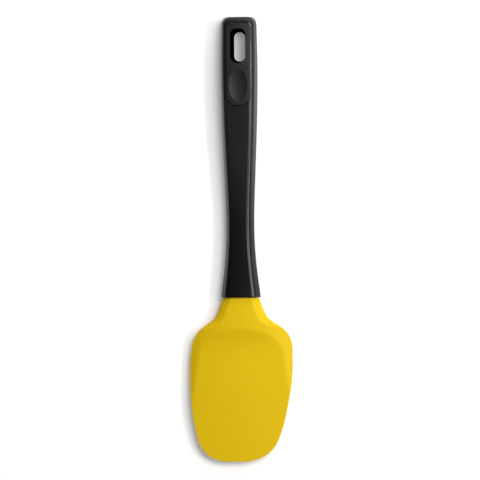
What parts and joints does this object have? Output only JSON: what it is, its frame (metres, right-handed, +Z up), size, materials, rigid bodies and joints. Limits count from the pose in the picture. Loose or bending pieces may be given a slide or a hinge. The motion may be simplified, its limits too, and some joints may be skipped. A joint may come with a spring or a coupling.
{
  "type": "silicone spatula",
  "caption": "Slim kitchen spatula: glossy black handle with a hanging slot in a raised panel, and a broad yellow silicone blade with a shallow front scoop.",
  "frame": {"origin": "middle of the spatula's overall box, on the table that it lies on", "axes": "+Y along the handle towards its butt, +X to the right of the front face, +Z up out of the front face"},
  "size_m": [0.0674, 0.2912, 0.0156],
  "materials": {
    "handle_gloss": "glossy moulded black",
    "insert_satin": "satin moulded black",
    "core_plastic": "plain moulded",
    "pin_steel": "drawn",
    "blade_silicone": "matte silicone"
  },
  "bodies": {
    "root": {"handle_front_shell": "handle_gloss", "handle_back_shell": "handle_gloss", "hanging_insert": "insert_satin", "blade_core": "core_plastic", "tang_pins": "pin_steel", "silicone_head": "blade_silicone"}
  },
  "joints": []
}
